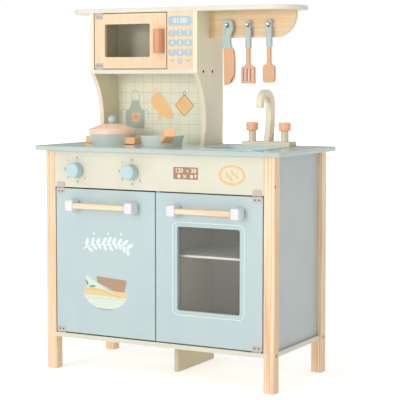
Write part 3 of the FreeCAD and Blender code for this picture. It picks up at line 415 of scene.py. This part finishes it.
def moved(x, z, points):
    """Points given from a middle, moved to where that middle is."""
    return [(x + u, z + v) for u, v in points]


def round_box(x0, z0, x1, z1, r):
    """A rectangle with round corners."""
    points = []
    corners = ((x1 - r, z1 - r), (x0 + r, z1 - r), (x0 + r, z0 + r), (x1 - r, z0 + r))
    for quarter, (cx, cz) in enumerate(corners):
        points += arc(cx, cz, r, r, quarter * math.pi / 2, math.pi / 2, 7)
    return points


def stroke(line, width):
    """An outline of that width along a line of points, with the ends cut square."""
    left, right = [], []
    for n, point in enumerate(line):
        before = Vector(line[max(n - 1, 0)])
        after = Vector(line[min(n + 1, len(line) - 1)])
        along = (after - before).normalized()
        side = Vector((-along.y, along.x)) * (width / 2)
        left.append(tuple(Vector(point) + side))
        right.append(tuple(Vector(point) - side))
    return left + right[::-1]


def leaf(x, z, length, width, angle):
    """A pointed leaf from its stalk."""
    cos, sin = math.cos(angle), math.sin(angle)
    points = []
    for side in (1, -1):
        for n in range(9):
            t = n / 8 if side > 0 else 1 - n / 8
            half = width / 2 * math.sin(math.pi * t) ** 0.8
            u, v = length * t, side * half
            points.append((x + u * cos - v * sin, z + u * sin + v * cos))
    return points[:-1]


def curve_through(points, count=24):
    """A smooth line through a few points (Catmull-Rom)."""
    ends = [points[0]] + list(points) + [points[-1]]
    spans = len(points) - 1
    line = []
    for n in range(count):
        t = n / (count - 1) * spans
        k = min(int(t), spans - 1)
        f = t - k
        p0, p1, p2, p3 = (Vector(ends[k + i]) for i in range(4))
        line.append(tuple(0.5 * (
            2 * p1 + (p2 - p0) * f + (2 * p0 - 5 * p1 + 4 * p2 - p3) * f * f
            + (3 * p1 - p0 - 3 * p2 + p3) * f ** 3
        )))
    return line


def drawn(points, width, count=24):
    """A smooth drawn line through a few points."""
    return stroke(curve_through(points, count), width)


def add_slab(bm, outline, at, front_y, thick):
    """A flat outline turned into a thin closed slab that faces the front."""
    area = sum(
        a[0] * b[1] - b[0] * a[1] for a, b in zip(outline, outline[1:] + outline[:1])
    )
    if area < 0:
        outline = outline[::-1]
    loops = []
    for y in (front_y, front_y + thick):
        loops.append([bm.verts.new((at[0] + x * MM, y, at[1] + z * MM)) for x, z in outline])
    front, rear = loops
    bm.faces.new(front)
    bm.faces.new(rear[::-1])
    for n in range(len(front)):
        m = (n + 1) % len(front)
        bm.faces.new((front[m], front[n], rear[n], rear[m]))


def add_band(bm, outer, inner, at, front_y, thick):
    """A closed ring between two outlines with the same number of points."""
    rows = []
    for y in (front_y, front_y + thick):
        rows.append([
            [bm.verts.new((at[0] + x * MM, y, at[1] + z * MM)) for x, z in loop]
            for loop in (outer, inner)
        ])
    (out_f, in_f), (out_r, in_r) = rows
    count = len(outer)
    for n in range(count):
        m = (n + 1) % count
        bm.faces.new((out_f[n], out_f[m], in_f[m], in_f[n]))
        bm.faces.new((out_r[m], out_r[n], in_r[n], in_r[m]))
        bm.faces.new((out_f[m], out_f[n], out_r[n], out_r[m]))
        bm.faces.new((in_f[n], in_f[m], in_r[m], in_r[n]))


def piece(name, bm, finish, body):
    """Turn a bmesh into a piece that rides on a body."""
    bmesh.ops.recalc_face_normals(bm, faces=bm.faces)
    mesh = bpy.data.meshes.new(name)
    bm.to_mesh(mesh)
    bm.free()
    mesh.materials.append(finish)
    obj = bpy.data.objects.new(name, mesh)
    bpy.context.scene.collection.objects.link(obj)
    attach(obj, body)


# Layers of ink are 0.15 mm apart, thicker than real ones so that they stay clear of each other.
INK = 0.15 * MM
# Where two shapes of a layer overlap, the later one lies this much further out.
HAIR = 0.003 * MM
CAP_HEIGHT = 0.7  # of the size that a font's letters are set in


class Print:
    """A board's front face to print on: x from its middle and z from its foot, in mm."""

    def __init__(self, node, body, slot):
        low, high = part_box(node)
        self.origin = ((low.x + high.x) / 2, low.z)
        self.face = low.y
        self.body, self.slot = body, slot

    def at(self, x, z):
        """A point given on the whole front, from this board's middle and foot."""
        return x - self.origin[0] / MM, z - self.origin[1] / MM

    def line(self, points):
        """Several such points."""
        return [self.at(*point) for point in points]

    def middle_of(self, node):
        """The middle of a node in front of the board."""
        low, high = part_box(node)
        return self.at((low.x + high.x) / 2 / MM, (low.z + high.z) / 2 / MM)

    def shapes(self, name, outlines, ink, bands=(), layer=1):
        """Slabs and rings of one ink; a higher layer lies on top of a lower one."""
        bm = bmesh.new()
        front = self.face - INK * layer
        for n, outline in enumerate(outlines):
            proud = HAIR * n
            add_slab(bm, outline, self.origin, front - proud, INK * layer + proud)
        for outer, inner in bands:
            add_band(bm, outer, inner, self.origin, front, INK * layer)
        piece(name, bm, ink, self.body)

    def digits(self, name, marks, ink, layer=2):
        """Printed digits: each mark is (text, x, z of its middle, height)."""
        bm = bmesh.new()
        for text, x, z, tall in marks:
            curve = bpy.data.curves.new(name, "FONT")
            curve.body = text
            curve.size = tall * MM / CAP_HEIGHT
            curve.align_x = "CENTER"
            curve.align_y = "CENTER"
            curve.extrude = INK / 2
            curve.offset = 0.02 * tall * MM
            curve.resolution_u = 4
            made = bpy.data.objects.new(name, curve)
            glyph = bpy.data.meshes.new_from_object(made)
            glyph.transform(Euler((math.pi / 2, 0, 0)).to_matrix().to_4x4())
            depth = self.face - INK * (layer - 0.5)
            shift = (self.origin[0] + x * MM, depth, self.origin[1] + z * MM)
            glyph.transform(Matrix.Translation(shift))
            bm.from_mesh(glyph)
            bpy.data.objects.remove(made)
            bpy.data.curves.remove(curve)
            bpy.data.meshes.remove(glyph)
        bmesh.ops.remove_doubles(bm, verts=bm.verts, dist=1e-7)
        piece(name, bm, ink, self.body)


# ------------------------------------------------------------------ control panel
panel = Print("control_panel", "cabinet", "cream_board")
panel.shapes("display_print", [round_box(45.8, 28.1, 107.1, 54.8, 1.5)], ink_brown)
panel.digits(
    "display_digits",
    [("120", 60.0, 46.8, 9.6), ("38", 96.0, 46.8, 9.6)],
    ink_light,
)
panel.shapes(
    "display_marks",
    [
        arc(60.0, 34.8, 4.1),
        round_box(78.5, 44.6, 84.5, 46.0, 0.6), round_box(78.5, 48.0, 84.5, 49.4, 0.6),
        round_box(88.0, 31.6, 94.4, 38.0, 1.2),
        [(97.6, 38.6), (104.4, 38.6), (101.0, 31.0)],
        stroke([(70.5, 31.2), (77.5, 38.4)], 1.6), stroke([(70.5, 38.4), (77.5, 31.2)], 1.6),
    ],
    ink_light, layer=2,
)
badge_x, badge_z = 189.5, 41.1
panel.shapes(
    "badge_print",
    [
        drawn(moved(badge_x, badge_z, [(-17, -7), (0, -1), (17, 8)]), 1.8),
        leaf(badge_x - 9, badge_z - 4.5, 13, 6.5, 1.9),
        leaf(badge_x - 6, badge_z - 3.5, 13, 6.5, -0.9),
        leaf(badge_x + 3, badge_z + 0.5, 13, 6.5, 2.0),
        leaf(badge_x + 6, badge_z + 1.5, 13, 6.5, -0.7),
    ],
    ink_orange,
    [(arc(badge_x, badge_z, 32.2, 22.2, count=72), arc(badge_x, badge_z, 26.6, 17.0, count=72))],
)
SCALE_TALL = 5.6
SCALE_MARKS = {
    "1": (-24, 20), "0": (1, 26.5), "2": (-32, 1),
    "3": (-24, -17.5), "4": (2, -27), "5": (23, -19),
}
for side in "lr":
    knob_x, knob_z = panel.middle_of("control_knob_" + side)
    panel.digits(
        "knob_scale_" + side,
        [(mark, knob_x + x, knob_z + z, SCALE_TALL) for mark, (x, z) in SCALE_MARKS.items()],
        ink_scale, layer=1,
    )

# ------------------------------------------------------------------ left door
door = Print("door_l", "door_left", "blue_board")

# A white sprig of leaves runs across the door under the handle.
stem = curve_through(door.line([
    (-190, 284), (-170, 292), (-148, 296), (-126, 296), (-104, 299), (-86, 296), (-70, 288),
]), 48)
sprig = [stroke(stem, 2.4)]
for n in range(9):
    joint = 4 + 5 * n
    x, z = stem[joint]
    ahead = Vector(stem[joint + 1]) - Vector(stem[joint - 1])
    lean = math.atan2(ahead.y, ahead.x)
    size = 20 + 3 * math.cos(n * 1.7)
    sprig.append(leaf(x, z, size, 8.6, lean + 1.0))
    sprig.append(leaf(x + 3, z, size * 0.8, 7.4, lean - 0.95))
for n in range(3):
    x, z = stem[10 + 13 * n]
    berry = arc(x + 4, z + 26 - n, 2.6, count=16)
    sprig.append(berry)
door.shapes("door_sprig", sprig, ink_white)

# A bowl of noodles.
bowl_x, bowl_z = door.at(-130.5, 188)


def in_bowl(points):
    """Points given from the middle of the bowl."""
    return moved(bowl_x, bowl_z, points)


door.shapes(
    "bowl_print",
    [
        arc(bowl_x, bowl_z - 2, 57.5, 36.5, math.pi, math.pi, 40),
        in_bowl([(-52, 36), (-26, 22), (22, -3), (-50, 3)]),
    ],
    ink_bowl,
)
noodle_top = curve_through(in_bowl([(-56, 9), (-20, 8), (20, 3), (57, 3)]), 20)
noodle_foot = curve_through(in_bowl([(56, -11), (20, -10), (-20, -8), (-56, -9)]), 20)
door.shapes("noodle_print", [noodle_top + noodle_foot], ink_noodle, layer=2)
door.shapes(
    "cocoa_print", [in_bowl([(-23, 35), (56, 30), (50, 3), (22, 4), (-22, 22)])],
    ink_cocoa, layer=3,
)
door.shapes(
    "noodle_lines", [drawn(in_bowl([(-50, 4), (-15, 4), (15, -4), (40, -9)]), 1.1, 20)],
    ink_noodle_line, layer=3,
)
door.shapes(
    "bowl_dots",
    [
        arc(bowl_x - 44 + 7.4 * n, bowl_z - 14.5 + 1.6 * math.sin(n * 1.9), 1.0, count=10)
        for n in range(13)
    ],
    ink_dots, layer=2,
)
door.shapes(
    "leaf_print",
    [
        leaf(bowl_x - 46, bowl_z + 12, 15, 6.0, 2.0),
        leaf(bowl_x - 44, bowl_z + 10, 19, 6.0, 0.15),
        drawn(in_bowl([(-18, -37.6), (0, -39.2), (18, -38.6)]), 1.8, 12),
    ],
    ink_leaf, layer=2,
)

# ------------------------------------------------------------------ right door
right_door = Print("door_r", "door_right", "blue_board")
pane_x, pane_z = right_door.middle_of("oven_pane")
TRIM_WIDE, TRIM_TALL, TRIM_LINE, TRIM_CORNER = 178, 207, 2.4, 14


def trim_outline(inset):
    """The routed line round the window, moved in by an inset."""
    half_x, half_z = TRIM_WIDE / 2 - inset, TRIM_TALL / 2 - inset
    return round_box(
        pane_x - half_x, pane_z - half_z, pane_x + half_x, pane_z + half_z, TRIM_CORNER - inset
    )


# A paler band lies on the door over the line routed round the window.
right_door.shapes("window_trim", [], ink_trim, [(trim_outline(0), trim_outline(TRIM_LINE))])

# ------------------------------------------------------------------ microwave key panel
keys = Print("microwave_panel", "cabinet", "microwave_wood")
KEY_STEP = 21.0
KEY_HALF_WIDE, KEY_HALF_TALL, KEY_CORNER = 10.3, 7.6, 6
KEY_ROWS = (772.7, 750.6, 728.3)
DIGIT_DROP = 22.2
key_places = [(column * KEY_STEP, keys.at(0, z)[1]) for z in KEY_ROWS for column in (-1, 0, 1)]
clock_foot, clock_middle, clock_head = (keys.at(0, z)[1] for z in (789.5, 800.5, 811.5))
minus_z, dial_z = keys.at(0, 710)[1], keys.at(0, 709)[1]
keys.shapes(
    "keypad_print",
    [round_box(-31, clock_foot, 30, clock_head, 6)]
    + [
        round_box(
            x - KEY_HALF_WIDE, z - KEY_HALF_TALL, x + KEY_HALF_WIDE, z + KEY_HALF_TALL, KEY_CORNER
        )
        for x, z in key_places
    ]
    + [stroke([(x, minus_z), (x + 9, minus_z)], 4.2) for x in (-24.5, 16.5)],
    ink_key,
    [(arc(0, dial_z, 6.8, count=32), arc(0, dial_z, 2.6, count=32))],
)
keys.digits(
    "keypad_digits",
    [("01:00", 0, clock_middle, 11.5)]
    + [
        (
            str(1 + row * 3 + column), KEY_STEP * (column - 1),
            keys.at(0, KEY_ROWS[0] - DIGIT_DROP * row)[1], 8.4,
        )
        for row in range(3)
        for column in range(3)
    ],
    ink_digit,
)

# ------------------------------------------------------------------ printed splashback
splash = Print("tower_back", "cabinet", "cream_board")

# An apron with a pocket hangs at the left.
apron = splash.line([
    (-218, 549), (-190, 548), (-179, 549), (-177, 560), (-177, 592), (-185, 594), (-190, 604),
    (-192, 616), (-213, 616), (-216, 604), (-222, 594), (-230, 592), (-231, 575), (-229, 556),
])
neck_loop = [(-213, 616), (-213, 632), (-203, 641), (-193, 632), (-192, 616)]
left_tie = [(-230, 592), (-240, 594), (-244, 582), (-239, 572)]
right_tie = [(-177, 592), (-170, 594), (-166, 584), (-169, 572)]
splash.shapes(
    "apron_print",
    [
        apron,
        drawn(splash.line(neck_loop), 1.6),
        drawn(splash.line(left_tie), 1.4, 16),
        drawn(splash.line(right_tie), 1.4, 16),
    ],
    ink_apron,
)
pocket_x, pocket_z = splash.at(-201.3, 575)
POCKET_HALF_WIDE, POCKET_HALF_TALL, POCKET_CORNER = 11.4, 11, 3.5
splash.shapes(
    "pocket_print",
    [round_box(
        pocket_x - POCKET_HALF_WIDE, pocket_z - POCKET_HALF_TALL,
        pocket_x + POCKET_HALF_WIDE, pocket_z + POCKET_HALF_TALL, POCKET_CORNER,
    )],
    ink_pocket, layer=2,
)


def heart_outline(cx, cz, scale):
    """The usual heart curve, 32 units wide."""
    points = []
    steps = 36
    for n in range(steps):
        a = FULL_TURN * n / steps
        x = 16 * math.sin(a) ** 3
        z = 13 * math.cos(a) - 5 * math.cos(2 * a) - 2 * math.cos(3 * a) - math.cos(4 * a)
        points.append((cx + scale * x, cz + scale * z))
    return points


splash.shapes("heart_print", [heart_outline(pocket_x, pocket_z + 1, 0.40)], ink_heart, layer=3)

# An oven mitt hangs beside it from a loop.
mitt = curve_through(splash.line([
    (-160, 613), (-158, 622), (-150, 632), (-143, 636), (-134, 634), (-118, 618),
    (-107, 604), (-99, 589), (-97, 576), (-111, 573), (-127, 580), (-134, 570),
    (-139, 577), (-141, 590), (-152, 598), (-160, 613),
]), 76)[:-1]
mitt_loop = [(-148, 634), (-150, 640), (-145, 646), (-140, 640), (-141, 634)]
splash.shapes("mitt_print", [mitt, drawn(splash.line(mitt_loop), 2.2, 12)], ink_mitt)

# A checked pot holder hangs on its corner at the right.
holder_x, holder_z = splash.at(-67.3, 605)


def diamond(half_x, half_z, r):
    """A square set on its corner, with the corners rounded."""
    points = []
    corners = (
        (half_x - r, 0, -0.6), (0, half_z - r, 0.97), (r - half_x, 0, 2.54), (0, r - half_z, 4.11),
    )
    for cx, cz, start in corners:
        points += arc(holder_x + cx, holder_z + cz, r, r, start, 1.2, 6)
    return points


cloth = diamond(22.6, 23.2, 3.0)
splash.shapes("holder_print", [cloth], ink_mitt)
holder_loop = [(-2.5, 23), (-3, 30), (0, 34), (3, 30), (2.5, 23)]
splash.shapes(
    "holder_edge", [drawn(moved(holder_x, holder_z, holder_loop), 1.5, 14)],
    ink_outline, [(diamond(25.0, 25.6, 3.6), cloth)],
)
checks = []
for n in range(4):
    foot = (-18 + 5.2 * n, -3.4 - 2.6 * n)
    head = (-3.0 + 5.2 * n, 17.6 - 4.6 * n)
    checks.append(stroke(moved(holder_x, holder_z, [foot, head]), 1.2))
splash.shapes("holder_check", checks, ink_check, layer=2)

# ------------------------------------------------------------------ screws in the pivots
SCREW_SIDES = 16
SCREW_STEP = 4.6 * MM  # from the middle of a plate


def screw_head(bm, x, y, z, radius):
    """A screw head with a round recess, crowned a little out of its plate towards the front."""
    loops = []
    for share, crown_mm in ((1.0, 0.0), (0.86, 0.25), (0.45, 0.4)):
        r, front = radius * share * MM, y - crown_mm * MM
        loop = []
        for n in range(SCREW_SIDES):
            a = FULL_TURN * n / SCREW_SIDES
            loop.append(bm.verts.new((x + r * math.cos(a), front, z + r * math.sin(a))))
        loops.append(loop)
    # the recess drops in from the crown
    pit = [bm.verts.new((v.co.x, y + 0.5 * MM, v.co.z)) for v in loops[-1]]
    for outer, inner in zip(loops, loops[1:] + [pit]):
        for n in range(SCREW_SIDES):
            m = (n + 1) % SCREW_SIDES
            bm.faces.new((outer[m], outer[n], inner[n], inner[m]))
    bm.faces.new(pit)
    bm.faces.new(loops[0][::-1])


def plate_screws(name, node, body, inset_mm, radius):
    """Two screws in each of a node's two plates, a little in from its foot and its top."""
    low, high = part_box(node)
    x = (low.x + high.x) / 2
    bm = bmesh.new()
    for z in (low.z + inset_mm * MM, high.z - inset_mm * MM):
        for side in (-1, 1):
            screw_head(bm, x + side * SCREW_STEP, low.y, z, radius)
    piece(name, bm, screw_dark, body)


for side, body in (("l", "door_left"), ("r", "door_right")):
    plate_screws("pivot_screws_" + side, "door_pivots_" + side, body, 7.5, 1.7)
plate_screws("microwave_pivot_screws", "microwave_door_pivots", "microwave_door", 8, 1.5)

# ------------------------------------------------------------------ floor, light and camera
scene = bpy.context.scene
low, high = cad_box
centre = (low + high) / 2

FLOOR_REACH = 14.0
floor_mesh = bpy.data.meshes.new("studio_floor")
floor_mesh.from_pydata(
    [
        (x * FLOOR_REACH, y * FLOOR_REACH, low.z)
        for x, y in ((-1, -1), (1, -1), (1, 1), (-1, 1))
    ],
    [], [(0, 1, 2, 3)],
)
floor = bpy.data.objects.new("studio_floor", floor_mesh)
scene.collection.objects.link(floor)
floor_finish, floor_tree, floor_shader = new_finish(
    "studio_paper",
    {"Base Color": linear("#DDDDDD"), "Roughness": 0.9, "Emission Color": (1.0, 1.0, 1.0, 1.0)},
)
# the paper is lit from behind more and more towards its edges
spot = put(floor_tree, "TexCoord").outputs["Object"]
away = put(floor_tree, "VectorMath", {"operation": "LENGTH"}, {0: spot})
backlight = put(
    floor_tree, "MapRange", {"From Min": 0.6, "From Max": 4.0, "To Min": 0.5, "To Max": 1.0},
    {"Value": away.outputs["Value"]},
)
floor_tree.links.new(backlight.outputs["Result"], floor_shader.inputs["Emission Strength"])
floor_mesh.materials.append(floor_finish)

# the room round it looks white, but lights the kitchen at less than half of that
world = bpy.data.worlds.new("studio")
world.use_nodes = True
scene.world = world
room = world.node_tree
room.nodes.clear()
seen = put(room, "LightPath").outputs["Is Camera Ray"]
backdrop = put(room, "MapRange", {"To Min": 0.45, "To Max": 1.0}, {"Value": seen})
glow = put(
    room, "Background", {"Color": (1.0, 1.0, 1.0, 1.0)}, {"Strength": backdrop.outputs["Result"]}
)
put(room, "OutputWorld", None, {"Surface": glow.outputs["Background"]})


def softbox(name, at, size, watts):
    """A square white studio light that looks at the middle of the kitchen."""
    lamp = bpy.data.lights.new(name, "AREA")
    lamp.shape = "SQUARE"
    lamp.size = size
    lamp.energy = watts
    obj = bpy.data.objects.new(name, lamp)
    scene.collection.objects.link(obj)
    obj.location = Vector(at)
    obj.rotation_mode = "QUATERNION"
    obj.rotation_quaternion = (centre - Vector(at)).to_track_quat("-Z", "Y")


softbox("key_light", (-0.9, -4.5, 1.3), 1.2, 66)
softbox("high_light", (-1.8, -3.2, 3.2), 1.6, 30)
softbox("right_fill", (3.2, -2.6, 1.6), 2.0, 12)
softbox("rear_light", (0.6, 4.2, 2.4), 2.0, 34)
softbox("top_light", (0.3, -0.6, 4.0), 3.0, 26)

# seen from the right and a little above, through a long lens
camera = bpy.data.objects.new("camera", bpy.data.cameras.new("camera"))
scene.collection.objects.link(camera)
camera.location = (1.52531, -2.74216, 0.67420)
camera.rotation_euler = (math.radians(90 - 4.01045), 0, math.radians(28.62445))
camera.data.sensor_width = 36
camera.data.lens = 123.87
camera.data.shift_x = 0.00843
camera.data.shift_y = -0.06805
camera.data.clip_end = 60
scene.camera = camera

scene.view_settings.view_transform = "Standard"
